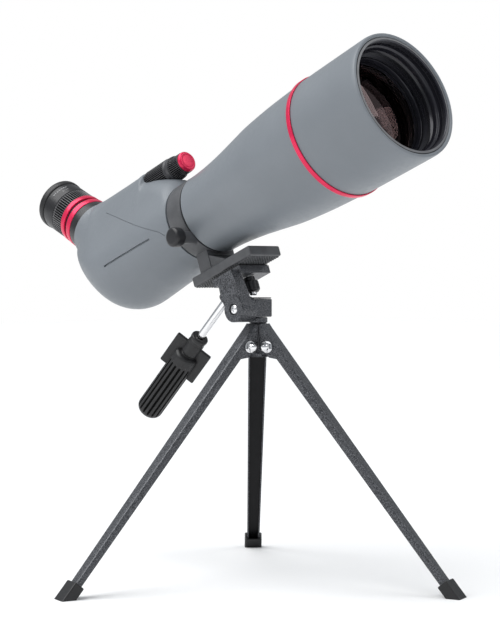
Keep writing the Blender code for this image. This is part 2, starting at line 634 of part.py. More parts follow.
def make_crown(ground, uprights):
    hub = [(0, 201.6), (6.6, 201.6), (7.2, 201.0), (7.2, 197.8), (5.0, 196.6), (5.0, 195.0)]
    hub += [(7.0, 188.0), (7.0, 176.0), (9.0, 174.0), (9.0, 171.4), (0, 171.4)]
    crown = turned("tripod_crown", hub, ground, cast_paint())
    ear_outline = [(-8.5, -7.0), (0, -EAR_RADIUS)] + arc((0, 0), EAR_RADIUS, -72, 72, 9)
    ear_outline += [(0, EAR_RADIUS), (-8.5, 8.3)]
    for upright in uprights:
        ear = outline_plate("ear_of_" + upright.name, ear_outline, EAR_THICKNESS, upright)
        join(crown, ear)
    for upright in uprights:
        pin_axis = frame("pin_" + upright.name, upright, (0, 0, 0), (0, 1, 0), (1, 0, 0))
        cut(crown, rod("hole_of_" + upright.name, PIN_RADIUS + GAP, 12, -12, pin_axis, sides=TINY_SIDES))
    stud_hole = rod("crown_stud_hole", PAN_STUD_RADIUS + GAP, 204, 187.7, ground, sides=TINY_SIDES)
    cut(crown, stud_hole)
    rod("pan_stud", PAN_STUD_RADIUS, STUD_TOP, 188, ground, steel(), TINY_SIDES)


def make_leg(side, leaning):
    top = ((LEG_EDGE_TOP, -LEG_HALF_TOP), (LEG_WEB_TOP, LEG_HALF_TOP))
    foot = ((LEG_EDGE_TOP, -LEG_HALF_FOOT), (LEG_WEB_FOOT, LEG_HALF_FOOT))
    leg_low = (*top[0], LEG_FOOT)
    leg_high = (*top[1], LEG_TOP)
    leg = box(f"leg_{side}", leg_low, leg_high, leaning, cast_paint(), foot_scale=foot)
    hollow_low = (-20, -LEG_HALF_TOP + LEG_SHEET, LEG_FOOT)
    hollow_high = (LEG_WEB_TOP - LEG_SHEET, LEG_HALF_TOP - LEG_SHEET, LEG_TOP)
    foot_inside = (LEG_WEB_FOOT - LEG_SHEET, LEG_HALF_FOOT - LEG_SHEET)
    hollow_foot = ((-20, -LEG_HALF_FOOT + LEG_SHEET), foot_inside)
    hollow = box(f"leg_hollow_{side}", hollow_low, hollow_high, leaning, foot_scale=hollow_foot)
    stretch_through(hollow, LEG_TOP - LEG_FOOT)
    trim_outline = [(-8, 5), (-4, 5), (4.6, LEG_TOP), (4.6, LEG_TOP + 3), (-8, LEG_TOP + 3)]
    trim = outline_plate(f"leg_trim_{side}", trim_outline, 30, leaning)
    lean_edge = [(-8, -7), (-4.4, -7), (LEG_EDGE_BELOW_PIVOT, -12), (LEG_EDGE_FOOT, LEG_FOOT - OVERRUN)]
    lean_edge += [(-8, LEG_FOOT - OVERRUN)]
    edge_trim = outline_plate(f"leg_edge_trim_{side}", lean_edge, 30, leaning)
    pin_axis = frame(f"leg_pin_axis_{side}", leaning, (0, 0, 0), (0, 1, 0), (1, 0, 0))
    pin_hole = rod(f"leg_pin_hole_{side}", PIN_RADIUS + GAP, 12, -12, pin_axis, sides=TINY_SIDES)
    cut(leg, hollow, trim, edge_trim, pin_hole)
    dome = [(0, 15.0), (1.6, 14.6), (2.9, 13.4), (3.6, 11.6), (3.6, 8.3), (4.5, 8.3), (4.5, 7.6)]
    bolt = dome + [(PIN_RADIUS, 7.6), (PIN_RADIUS, -10.0), (0, -10.0)]
    turned(f"pivot_bolt_{side}", bolt, pin_axis, steel(), TINY_SIDES)
    nut = [(0, -10.3), (PIN_RADIUS + GAP, -10.3), (PIN_RADIUS + GAP, -7.6)]
    nut += [(radius, -station) for radius, station in reversed(dome)]
    turned(f"pivot_nut_{side}", nut, pin_axis, steel(), TINY_SIDES)


def stretch_through(cutter, length):
    """Lengthens a cutter along its own taper, so that it passes both ends of what it cuts."""
    growth = 1 + 2 * OVERRUN / length
    centre = sum((vert.co for vert in cutter.data.vertices), Vector()) / 8
    top = [vert for vert in cutter.data.vertices if vert.co.z > centre.z]
    foot = [vert for vert in cutter.data.vertices if vert.co.z < centre.z]
    for high in top:
        low = min(foot, key=lambda vert: (vert.co - high.co).to_2d().length)
        middle = (high.co + low.co) / 2
        half = (high.co - low.co) / 2 * growth
        high.co = middle + half
        low.co = middle - half


def make_foot_cap(side, leaning, ground):
    room = GAP + 0.2
    cap_low = (LEG_EDGE_FOOT - room - CAP_WALL, -LEG_HALF_FOOT - room - CAP_WALL, -246)
    cap_high = (LEG_WEB_FOOT + room + CAP_WALL, LEG_HALF_FOOT + room + CAP_WALL, LEG_FOOT + 5)
    cap = box(f"foot_cap_{side}", cap_low, cap_high, leaning, black_rubber(), bevel=0.8)
    pocket_low = (LEG_EDGE_FOOT - room, -LEG_HALF_FOOT - room, LEG_FOOT - GAP)
    pocket_high = (LEG_WEB_FOOT + room, LEG_HALF_FOOT + room, LEG_FOOT + 10)
    pocket = box(f"cap_pocket_{side}", pocket_low, pocket_high, leaning)
    ground_slab = box(f"ground_slab_{side}", (-300, -300, -40), (300, 300, 0), ground)
    cut(cap, pocket, ground_slab)


# ---------------------------------------------------------------- assembly


def centre_on_ground(ground):
    """Moves everything so that the origin is at the middle of the model's box, at its foot."""
    bpy.context.view_layer.update()
    graph = bpy.context.evaluated_depsgraph_get()
    corners = []
    for obj in parts.objects:
        if obj.type == "MESH":
            solid = obj.evaluated_get(graph)
            corners += [solid.matrix_world @ vert.co for vert in solid.data.vertices]
    low = [min(corner[i] for corner in corners) for i in range(3)]
    high = [max(corner[i] for corner in corners) for i in range(3)]
    shift = Vector(((low[0] + high[0]) / 2, (low[1] + high[1]) / 2, low[2]))
    ground.matrix_basis = Matrix.Translation(-shift)


def build():
    clear_scene()
    ground = frame("ground")
    climb = math.radians(SCOPE_ELEVATION)
    forward = (math.cos(climb), 0, math.sin(climb))
    upward = (-math.sin(climb), 0, math.cos(climb))
    tilt = frame("tilt_axis", ground, (0, 0, TILT_HEIGHT), upward, forward)
    optics = frame("optics_axis", tilt, (RIM_AHEAD_OF_TILT, 0, AXIS_ABOVE_TILT), (1, 0, 0), (0, 0, 1))
    bend = math.radians(EYEPIECE_ANGLE)
    to_eye = (math.sin(bend), 0, -math.cos(bend))
    across_eye = (math.cos(bend), 0, math.sin(bend))
    eyepiece = frame("eyepiece_axis", optics, (0, 0, EYEPIECE_STATION), to_eye, across_eye)
    slope = math.radians(HANDLE_SLOPE)
    up_handle = (math.cos(slope), 0, math.sin(slope))
    handle = frame("handle_axis", tilt, HANDLE_START, up_handle, upward)

    make_hood(optics)
    make_tube(optics)
    make_objective(optics)
    make_housing(optics, eyepiece)
    make_prism(optics)
    make_focus(optics)
    make_eyepiece(eyepiece)
    make_eyecup(eyepiece)
    plate_axis = make_collar(optics)
    make_camera_screw(plate_axis)
    make_head(tilt, handle, plate_axis)
    make_handle(handle)
    make_pan_block(ground, TILT_HEIGHT)
    uprights = []
    for side, azimuth in LEG_AZIMUTHS.items():
        upright, leaning = leg_frames(ground, azimuth)
        uprights.append(upright)
        make_leg(side, leaning)
        make_foot_cap(side, leaning, ground)
    make_crown(ground, uprights)
    centre_on_ground(ground)


build()
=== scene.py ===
"""Looks for the spotting scope on its tabletop tripod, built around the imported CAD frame.

Lengths are millimetres in the local frames below, and every mesh is scaled to metres as it is made.
Stations run along a frame's Z axis, as in the CAD source:
  OPTICS    origin in the hood's front rim, Z forward along the light path, X up, Y to the right
  EYEPIECE  origin where the eyepiece's axis meets the light path, Z out to the eye
  HANDLE    origin where the pan handle leaves its clamp; the grip is at negative stations
  PLATE     origin on the camera screw's axis at the foot plate's underside, Z up, X forward
  TILT      origin on the tilt hinge, X along the scope, Z away from the tripod
  LEGS      origin on each leg's pivot, Z up the leg, X outward
"""

import json
import math

import bmesh
import bpy
from mathutils import Matrix, Vector


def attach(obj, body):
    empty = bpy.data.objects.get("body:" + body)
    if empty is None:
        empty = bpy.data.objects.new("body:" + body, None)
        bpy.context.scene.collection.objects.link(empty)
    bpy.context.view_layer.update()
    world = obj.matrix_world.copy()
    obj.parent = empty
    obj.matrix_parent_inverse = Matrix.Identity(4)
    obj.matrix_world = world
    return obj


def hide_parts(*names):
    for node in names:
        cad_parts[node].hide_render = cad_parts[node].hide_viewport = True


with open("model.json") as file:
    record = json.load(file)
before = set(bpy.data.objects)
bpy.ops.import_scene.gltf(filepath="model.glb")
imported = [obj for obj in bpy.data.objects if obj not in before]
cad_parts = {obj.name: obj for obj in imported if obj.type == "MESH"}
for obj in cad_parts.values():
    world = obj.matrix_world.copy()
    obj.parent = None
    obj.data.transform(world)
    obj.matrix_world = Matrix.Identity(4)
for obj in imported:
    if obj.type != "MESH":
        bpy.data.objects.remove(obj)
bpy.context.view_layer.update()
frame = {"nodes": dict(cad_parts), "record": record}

MM = 0.001
TAU = 2 * math.pi

JOINTS = {joint["name"]: joint for joint in frame["record"]["behaviour"]["joints"]}


def axes(origin, z_axis, x_hint=(0, 0, 1)):
    """A matrix whose Z runs along z_axis and whose X is as near to x_hint as it can be."""
    z_axis = Vector(z_axis).normalized()
    x_axis = (Vector(x_hint) - z_axis * z_axis.dot(Vector(x_hint))).normalized()
    turned_axes = Matrix((x_axis, z_axis.cross(x_axis), z_axis)).transposed().to_4x4()
    return Matrix.Translation(Vector(origin)) @ turned_axes


def joint_point(name):
    return Vector(JOINTS[name]["pos_m"])


def joint_axis(name):
    return Vector(JOINTS[name]["axis"])


# Stations of the points that the record's joints give.
ROTATION_STATION = -226.0
ZOOM_STATION = 93.0

FORWARD = joint_axis("hood_slide")
OPTICS = axes(joint_point("scope_rotation") - FORWARD * ROTATION_STATION * MM, FORWARD)
SCOPE_UP = OPTICS.to_3x3().col[0]
TO_EYE = joint_axis("zoom_turn")
EYEPIECE = axes(joint_point("zoom_turn") - TO_EYE * ZOOM_STATION * MM, TO_EYE)
HANDLE = axes(joint_point("handle_twist"), joint_axis("handle_twist"))
PLATE = axes(joint_point("camera_screw_turn"), SCOPE_UP, FORWARD)
TILT = axes(joint_point("tilt"), SCOPE_UP, FORWARD)
CLAMP = axes(joint_point("clamp_knob_turn"), joint_axis("clamp_knob_turn"), FORWARD)
PAN = axes((*joint_point("pan")[:2], 0), (0, 0, 1), (1, 0, 0))
LEG_LEAN = math.radians(40)


def leg_frame(side):
    name = f"leg_{side}_fold"
    outward = joint_axis(name).cross(Vector((0, 0, 1)))
    up_leg = Vector((0, 0, math.cos(LEG_LEAN))) - outward * math.sin(LEG_LEAN)
    return axes(joint_point(name), up_leg, outward)


# ---------------------------------------------------------------- materials


def principled(name, colour, roughness, metallic=0.0, **sockets):
    """A node material. sockets are other Principled inputs, with _ for a space."""
    made = bpy.data.materials.new(name)
    made.use_nodes = True
    shader = made.node_tree.nodes["Principled BSDF"]
    shader.inputs["Base Color"].default_value = (*colour, 1)
    shader.inputs["Roughness"].default_value = roughness
    shader.inputs["Metallic"].default_value = metallic
    for socket, value in sockets.items():
        shader.inputs[socket.replace("_", " ")].default_value = value
    return made, made.node_tree, shader


def grain(tree, scale, detail=2.0, stretch=(1, 1, 1)):
    """A noise pattern in object space; scale is in cells per metre."""
    place = tree.nodes.new("ShaderNodeTexCoord")
    mapping = tree.nodes.new("ShaderNodeMapping")
    mapping.inputs["Scale"].default_value = stretch
    pattern = tree.nodes.new("ShaderNodeTexNoise")
    pattern.inputs["Scale"].default_value = scale
    pattern.inputs["Detail"].default_value = detail
    tree.links.new(place.outputs["Object"], mapping.inputs["Vector"])
    tree.links.new(mapping.outputs["Vector"], pattern.inputs["Vector"])
    return pattern.outputs[0]


def ramp(tree, factor, stops):
    """A colour ramp; stops are (position, grey level or colour)."""
    node = tree.nodes.new("ShaderNodeValToRGB")
    elements = node.color_ramp.elements
    while len(elements) < len(stops):
        elements.new(0.5)
    for element, (position, value) in zip(elements, stops):
        element.position = position
        colour = value if isinstance(value, tuple) else (value,) * 3
        element.color = (*colour, 1)
    tree.links.new(factor, node.inputs["Fac"])
    return node.outputs["Color"]


def bump(tree, shader, *layers):
    """Relief in layers of (height, depth in millimetres)."""
    last = None
    for height, depth in layers:
        node = tree.nodes.new("ShaderNodeBump")
        node.inputs["Distance"].default_value = depth * MM
        tree.links.new(height, node.inputs["Height"])
        if last:
            tree.links.new(last, node.inputs["Normal"])
        last = node.outputs["Normal"]
    tree.links.new(last, shader.inputs["Normal"])


def make_armour():
    """Grey rubber armour: satin, with a very fine pebble and faint cloudy wear."""
    made, tree, shader = principled("armour_rubber", (0.174, 0.191, 0.210), 0.46, Specular_IOR_Level=0.42)
    cloud = grain(tree, 28, 4)
    colour = ramp(tree, cloud, [(0.3, (0.169, 0.186, 0.205)), (0.7, (0.181, 0.199, 0.219))])
    tree.links.new(colour, shader.inputs["Base Color"])
    pebble = grain(tree, 3600, 1)
    gloss = ramp(tree, grain(tree, 260, 3), [(0.35, 0.38), (0.65, 0.46)])
    tree.links.new(gloss, shader.inputs["Roughness"])
    bump(tree, shader, (pebble, 0.012))
    return made


TINT_SPREAD = 0.12
GLOSS_SPREAD = 0.12


def make_plain(name, colour, roughness, pebble=2600, depth=0.015, **sockets):
    """A moulded or coated surface with an even fine grain and some change in gloss."""
    made, tree, shader = principled(name, colour, roughness, **sockets)
    dark = tuple(value * (1 - TINT_SPREAD) for value in colour)
    light = tuple(value * (1 + TINT_SPREAD) for value in colour)
    shade = ramp(tree, grain(tree, 120, 4), [(0.35, dark), (0.65, light)])
    tree.links.new(shade, shader.inputs["Base Color"])
    smooth_spots, rough_spots = roughness * (1 - GLOSS_SPREAD), min(1, roughness * (1 + GLOSS_SPREAD))
    gloss = ramp(tree, grain(tree, 420, 3), [(0.3, smooth_spots), (0.7, rough_spots)])
    tree.links.new(gloss, shader.inputs["Roughness"])
    bump(tree, shader, (grain(tree, pebble, 1), depth))
    return made


def rings(tree, scale):
    """Noise that changes only with the radius and the station, as turning marks do."""
    place = tree.nodes.new("ShaderNodeTexCoord")
    split = tree.nodes.new("ShaderNodeSeparateXYZ")
    tree.links.new(place.outputs["Object"], split.inputs["Vector"])
    flat = tree.nodes.new("ShaderNodeCombineXYZ")
    tree.links.new(split.outputs["X"], flat.inputs["X"])
    tree.links.new(split.outputs["Y"], flat.inputs["Y"])
    length = tree.nodes.new("ShaderNodeVectorMath")
    length.operation = "LENGTH"
    tree.links.new(flat.outputs["Vector"], length.inputs[0])
    joined = tree.nodes.new("ShaderNodeCombineXYZ")
    tree.links.new(length.outputs["Value"], joined.inputs["X"])
    tree.links.new(split.outputs["Z"], joined.inputs["Z"])
    pattern = tree.nodes.new("ShaderNodeTexNoise")
    pattern.inputs["Scale"].default_value = scale
    pattern.inputs["Detail"].default_value = 2
    tree.links.new(joined.outputs["Vector"], pattern.inputs["Vector"])
    return pattern.outputs[0]


def make_turned_black():
    """Black anodised aluminium with turning marks, as inside the hood's mouth."""
    made, tree, shader = principled("turned_black", (0.02, 0.02, 0.027), 0.2, 0.3, Specular_IOR_Level=0.5)
    marks = rings(tree, 1600)
    tree.links.new(ramp(tree, marks, [(0.35, 0.15), (0.65, 0.3)]), shader.inputs["Roughness"])
    shade = ramp(tree, rings(tree, 260), [(0.35, (0.012, 0.012, 0.016)), (0.65, (0.028, 0.028, 0.038))])
    tree.links.new(shade, shader.inputs["Base Color"])
    bump(tree, shader, (marks, 0.01))
    return made


def make_hammered():
    """Hammered paint: small dimples, with metallic flake that collects in them."""
    made, tree, shader = principled("hammered_paint", (0.08, 0.085, 0.09), 0.34, 0.35)
    dimple = grain(tree, 1300, 2)
    flake = grain(tree, 3200, 2)
    mixed = tree.nodes.new("ShaderNodeMix")
    mixed.inputs["Factor"].default_value = 0.45
    tree.links.new(dimple, mixed.inputs["A"])
    tree.links.new(flake, mixed.inputs["B"])
    stops = [(0.36, (0.018, 0.019, 0.022)), (0.50, (0.044, 0.046, 0.052)), (0.63, (0.19, 0.195, 0.21))]
    tree.links.new(ramp(tree, mixed.outputs["Result"], stops), shader.inputs["Base Color"])
    tree.links.new(ramp(tree, dimple, [(0.35, 0.26), (0.65, 0.44)]), shader.inputs["Roughness"])
    bump(tree, shader, (dimple, 0.12), (flake, 0.03))
    return made


def make_chrome():
    made, tree, shader = principled("chromed_steel", (0.80, 0.80, 0.81), 0.14, 1.0)
    streak = grain(tree, 900, 2, (1, 1, 0.08))
    tree.links.new(ramp(tree, streak, [(0.3, 0.10), (0.7, 0.20)]), shader.inputs["Roughness"])
    bump(tree, shader, (streak, 0.004))
    return made


def make_red():
    """Red anodised aluminium with fine turning marks."""
    made, tree, shader = principled("red_anodised", (0.72, 0.02, 0.09), 0.3, 0.35)
    marks = rings(tree, 1400)
    tree.links.new(ramp(tree, marks, [(0.3, 0.22), (0.7, 0.36)]), shader.inputs["Roughness"])
    tint = ramp(tree, grain(tree, 90, 2), [(0.3, (0.64, 0.012, 0.070)), (0.7, (0.76, 0.018, 0.088))])
    tree.links.new(tint, shader.inputs["Base Color"])
    bump(tree, shader, (marks, 0.006))
    return made


def make_glass():
    """Coated lens glass: clear, with a faint warm reflection."""
    made, tree, shader = principled("coated_glass", (0.40, 0.34, 0.34), 0.02, 0.0, IOR=1.5)
    shader.inputs["Transmission Weight"].default_value = 1.0
    shader.inputs["Specular IOR Level"].default_value = 0.5
    shader.inputs["Specular Tint"].default_value = (0.8, 0.5, 0.5, 1)
    smear = grain(tree, 60, 3)
    tree.links.new(ramp(tree, smear, [(0.4, 0.0), (0.75, 0.006)]), shader.inputs["Roughness"])
    return made


BLACK_PLASTIC = (0.012, 0.012, 0.014)
BLACK_RUBBER = (0.011, 0.011, 0.012)
POWDER_GRAY = (0.070, 0.072, 0.077)
# Smooth black paint inside the leg channels, made darker and duller than the other blacks as painted shade
# for that face.
CHANNEL_PAINT_AND_SHADE_BLACK = (0.006, 0.006, 0.007)
# Near-black flat paint inside the hood and tube bores. On the floors of grooves and flutes it is painted
# shade.
FLAT_BLACK_AND_GROOVE_SHADE = (0.004, 0.004, 0.004)
# Lightened black for ribbed grips: a painted highlight on the ridges and on everything but the groove floors.
RIB_TOP_PAINTED_HIGHLIGHT = (0.040, 0.040, 0.044)
SATIN_GRAY = (0.15, 0.152, 0.16)
PRINT_WHITE = (0.55, 0.55, 0.56)

SHADES = {
    "armour": make_armour(),
    "plastic": make_plain("black_plastic", BLACK_PLASTIC, 0.34, Specular_IOR_Level=0.42),
    "rubber": make_plain("black_rubber", BLACK_RUBBER, 0.42, 1900, 0.02, Specular_IOR_Level=0.42),
    "black_metal": make_turned_black(),
    "red_metal": make_red(),
    "gray_metal": make_plain("powder_coated_metal", POWDER_GRAY, 0.42, 2300, 0.03),
    "cast_paint": make_hammered(),
    "steel": make_chrome(),
    "glass": make_glass(),
    # Black paint inside the leg channels, darkened further as painted shade.
    "shaded_inside_paint": make_plain(
        "channel_paint_with_painted_shade", CHANNEL_PAINT_AND_SHADE_BLACK, 0.35, 1500, 0.03, Specular_IOR_Level=0.15
    ),
    # The knobs and the zoom ring take this lightened black as a painted highlight on their ridges.
    "rib_tops_painted_highlight": make_plain("ribbed_grip_painted_highlight", RIB_TOP_PAINTED_HIGHLIGHT, 0.36, 2600, 0.01),
    "lip_gray": make_plain("satin_ring", SATIN_GRAY, 0.4, 3000, 0.006),
    # Flat black paint in the bores, and painted shade on the groove and flute floors.
    "bore_black_and_groove_shade": make_plain("flat_black_paint_and_groove_shade", FLAT_BLACK_AND_GROOVE_SHADE, 0.9, 2200, 0.02, Specular_IOR_Level=0.1),
    "print": make_plain("white_print", PRINT_WHITE, 0.6, 3000, 0.004),
}


def repaint_nodes():
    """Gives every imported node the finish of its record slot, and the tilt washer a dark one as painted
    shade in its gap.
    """
    for part in frame["record"]["subparts"]:
        node = frame["nodes"][part["node"]]
        node.data.materials.clear()
        # The tilt washer takes the dark channel paint: painted shade in the gap between the tilt barrel and
        # the pan block.
        shade = "shaded_inside_paint" if part["node"] == "tilt_washer" else part["material_slot"]
        node.data.materials.append(SHADES[shade])


# ---------------------------------------------------------------- shape tools


def rounded(points, radius=0.4, steps=3, closed=True):
    """An outline with its corners rounded. A point may carry its own radius as a third value."""
    out = []
    count = len(points)
    for i, point in enumerate(points):
        here = Vector(point[:2])
        if not closed and i in (0, count - 1):
            out.append(tuple(here))
            continue
        back = Vector(points[i - 1][:2]) - here
        ahead = Vector(points[(i + 1) % count][:2]) - here
        wanted = point[2] if len(point) > 2 else radius
        reach = min(wanted, back.length * 0.45, ahead.length * 0.45)
        start = here + back.normalized() * reach
        end = here + ahead.normalized() * reach
        for step in range(steps + 1):
            t = step / steps
            out.append(tuple(start * (1 - t) ** 2 + here * 2 * t * (1 - t) + end * t ** 2))
    return out


def threads(radius, start, end, pitch, depth):
    """Points of a row of grooves in a bore or on a shaft."""
    count = max(1, round(abs(end - start) / pitch))
    step = (end - start) / count
    points = []
    for i in range(count):
        points += [(radius, start + step * (i + 0.15)), (radius + depth, start + step * (i + 0.5))]
    return points + [(radius, end)]


def curve_through(rows, steps):
    """Rows of numbers, filled in with a smooth curve through them."""
    out = []
    for i in range(len(rows) - 1):
        before, here = rows[max(i - 1, 0)], rows[i]
        after, beyond = rows[i + 1], rows[min(i + 2, len(rows) - 1)]
        for step in range(steps):
            t = step / steps
            row = []
            for a, b, c, d in zip(before, here, after, beyond):
                bend = 2 * a - 5 * b + 4 * c - d
                cubic = 3 * b - 3 * c + d - a
                row.append(b + 0.5 * t * (c - a + t * (bend + t * cubic)))
            out.append(tuple(row))
    return out + [tuple(rows[-1])]


def ribs(low, high, count, depth, ramp_length=0.5, fill=0.5):
    """Relief for turned_object(): grooves along the axis between two stations."""

    def relief(station, turn):
        inside = min(station - low, high - station)
        if inside <= 0:
            return 0.0
        wave = 0.5 + 1.4 * (math.cos(turn * count) - 1 + 2 * fill)
        return -depth * min(1.0, inside / ramp_length) * min(1.0, max(0.0, wave))

    return relief


def smooth(mesh, angle=35):
    for face in mesh.polygons:
        face.use_smooth = True
    mesh.set_sharp_from_angle(angle=math.radians(angle))


def mesh_from(shape, name):
    """The mesh of a finished bmesh, with its faces pointing out."""
    bmesh.ops.recalc_face_normals(shape, faces=shape.faces)
    mesh = bpy.data.meshes.new(name)
    shape.to_mesh(mesh)
    shape.free()
    return mesh


def bare(name, mesh, place):
    """An object with no place in the model yet, such as a cutter."""
    obj = bpy.data.objects.new(name, mesh)
    obj.matrix_world = place
    bpy.context.scene.collection.objects.link(obj)
    return obj


def show(obj, slot, body, *stands_for, shade=None, second=None):
    """Makes an object a visible piece of a body, in place of the CAD nodes it stands for.

    Faces with material index 1 take the second shade, when there is one.
    """
    marks = [face.material_index if second else 0 for face in obj.data.polygons]
    obj.data.materials.clear()
    obj.data.materials.append(SHADES[shade or slot])
    if second:
        obj.data.materials.append(SHADES[second])
    obj.data.polygons.foreach_set("material_index", marks)
    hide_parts(*stands_for)
    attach(obj, body)
    return obj


# Relief deeper than this, in millimetres, takes the second material: painted shade on the groove floors.
GROOVE_FLOOR = 0.35


def turned_object(name, place, profile, sides=128, relief=None, at=(0, 0), second_from=None):
    """A turned body about Z. A profile that leaves the axis is closed into a ring.

    Faces from the profile's point second_from on take material index 1, and so do the floors of
    the relief's grooves, where the second shade is painted shade. The relief moves every wall at its station,
    the inner one too.
    """
    shape = bmesh.new()
    rings = []
    for radius, station in profile:
        if radius == 0:
            rings.append([shape.verts.new((at[0] * MM, at[1] * MM, station * MM))])
            continue
        row = []
        for i in range(sides):
            turn = TAU * i / sides
            reach = radius + (relief(station, turn) if relief else 0)
            spot = Vector((at[0] + reach * math.cos(turn), at[1] + reach * math.sin(turn), station))
            row.append(shape.verts.new(spot * MM))
        rings.append(row)
    if profile[0][0] > 0:
        rings.append(rings[0])
    for place_in_profile, (first, second) in enumerate(zip(rings, rings[1:])):
        for i in range(sides):
            j = (i + 1) % sides
            corners = (first[i % len(first)], first[j % len(first)])
            corners += (second[j % len(second)], second[i % len(second)])
            face = shape.faces.new(dict.fromkeys(corners))
            face.material_index = int(second_from is not None and place_in_profile >= second_from)
            # Groove floors take the second shade as painted shade.
            if relief and relief(profile[place_in_profile][1], TAU * (i + 0.5) / sides) < -GROOVE_FLOOR:
                face.material_index = 1
    mesh = mesh_from(shape, name)
    smooth(mesh)
    return bare(name, mesh, place)


def box_object(name, place, low, high):
    shape = bmesh.new()
    bmesh.ops.create_cube(shape, size=1.0)
    for vert in shape.verts:
        vert.co = Vector([high[i] if vert.co[i] > 0 else low[i] for i in range(3)]) * MM
    return bare(name, mesh_from(shape, name), place)


def slab_object(name, place, outline, low, high, normal="Y"):
    """An outline in the XZ plane, or the XY plane, pushed from low to high along its normal."""
    shape = bmesh.new()
    ends = []
    for level in (low, high):
        spots = [(a, level, b) if normal == "Y" else (a, b, level) for a, b in outline]
        ends.append([shape.verts.new(Vector(spot) * MM) for spot in spots])
    count = len(outline)
    for i in range(count):
        j = (i + 1) % count
        shape.faces.new((ends[0][i], ends[0][j], ends[1][j], ends[1][i]))
    for end in ends:
        shape.faces.new(end)
    return bare(name, mesh_from(shape, name), place)


def rod_object(name, place, radius, top, bottom, sides=64, at=(0, 0)):
    profile = [(0, top), (radius, top), (radius, bottom), (0, bottom)]
    return turned_object(name, place, profile, sides, at=at)


def settle(obj):
    """Keeps the evaluated mesh and drops the modifiers."""
    graph = bpy.context.evaluated_depsgraph_get()
    mesh = bpy.data.meshes.new_from_object(obj.evaluated_get(graph))
    obj.modifiers.clear()
    obj.data = mesh
    return obj


def combine(obj, operation, *tools):
    """Joins tools to obj ("UNION") or cuts them from it ("DIFFERENCE"), and removes them."""
    for tool in tools:
        modifier = obj.modifiers.new(tool.name, "BOOLEAN")
        modifier.operation = operation
        modifier.solver = "EXACT"
        modifier.object = tool
    settle(obj)
    for tool in tools:
        bpy.data.objects.remove(tool)
    return obj


def soften(obj, width, segments=2):
    """Rounds the hard edges of a piece."""
    modifier = obj.modifiers.new("soft_edges", "BEVEL")
    modifier.width = width * MM
    modifier.segments = segments
    modifier.limit_method = "ANGLE"
    modifier.angle_limit = math.radians(32)
    modifier.harden_normals = True
    for face in obj.data.polygons:
        face.use_smooth = True
    return settle(obj)


# ---------------------------------------------------------------- hood, tube and objective

HOOD_LENGTH = 68.4
ACCENT_FRONT = -68.7
ACCENT_REAR = -72.5
TUBE_SHAPE = [
    (46.5, -78), (45.0, -107), (42.6, -134), (40.5, -148), (38.0, -163),
    (36.0, -176), (34.3, -190), (33.0, -205), (32.6, -216.5),
]


def make_hood():
    outside = [(45.0, -3.2), (45.0, -1.1, 0.8), (46.4, 0, 0.9), (47.7, -0.5, 1.0), (48.2, -3.2, 1.5)]
    outside += [(47.9, -28), (47.6, -50), (47.3, -HOOD_LENGTH, 0.5), (46.9, -HOOD_LENGTH)]
    inside = [(46.9, ACCENT_REAR + 0.6), (46.2, ACCENT_REAR + 0.6), (46.2, -3.2)]
    outside, inside = rounded(outside, 0.4, closed=False), rounded(inside, 0.4, closed=False)
    hood = turned_object("hood_armour", OPTICS, outside + inside, 200, second_from=len(outside))
    show(hood, "armour", "hood_body", "sliding_hood", second="bore_black_and_groove_shade")
    liner = [(44.7, -0.9), (44.7, -3.5), (45.9, -3.5), (45.9, -12.9), (40.2, -12.9), (40.2, -11.6)]
    liner += [(40.9, -9.4), (42.2, -8.6), (42.3, -5.4)]
    liner = rounded(liner, 0.25, 2) + threads(42.3, -5.2, -1.9, 0.66, 0.45) + [(42.9, -1.3), (42.9, -0.9)]
    ring = turned_object("hood_front_ring", OPTICS, liner, 200, second_from=len(liner) - 1)
    show(ring, "black_metal", "hood_body", "hood_liner_ring", second="lip_gray")
    accent = [(48.2, ACCENT_FRONT), (48.2, ACCENT_REAR), (47.2, ACCENT_REAR), (47.2, ACCENT_FRONT)]
    band = turned_object("hood_accent_band", OPTICS, rounded(accent, 0.35), 200)
    show(band, "red_metal", "hood_body", "accent_ring")


def make_tube():
    taper = curve_through(TUBE_SHAPE, 5)
    outside = [(45.2, -24), (45.2, -26.3), (44.2, -26.3), (44.2, -29.1), (45.2, -29.1)]
    outside += [(45.2, ACCENT_REAR - 0.3), (46.2, ACCENT_REAR - 0.3), (46.9, ACCENT_REAR - 0.9)]
    outside += taper + [(31.6, -217.5), (29.3, -217.6), (29.3, -236.2), (27.0, -236.2), (27.0, -242.5)]
    inside = [(24.6, -242.5), (24.6, -226), (31.6, -190), (35.2, -163), (39.8, -134), (42.6, -100)]
    inside += [(42.6, -24)]
    tube = turned_object("tube_armour", OPTICS, outside + inside, 200, second_from=len(outside))
    show(tube, "armour", "scope_body", "front_tube", second="bore_black_and_groove_shade")


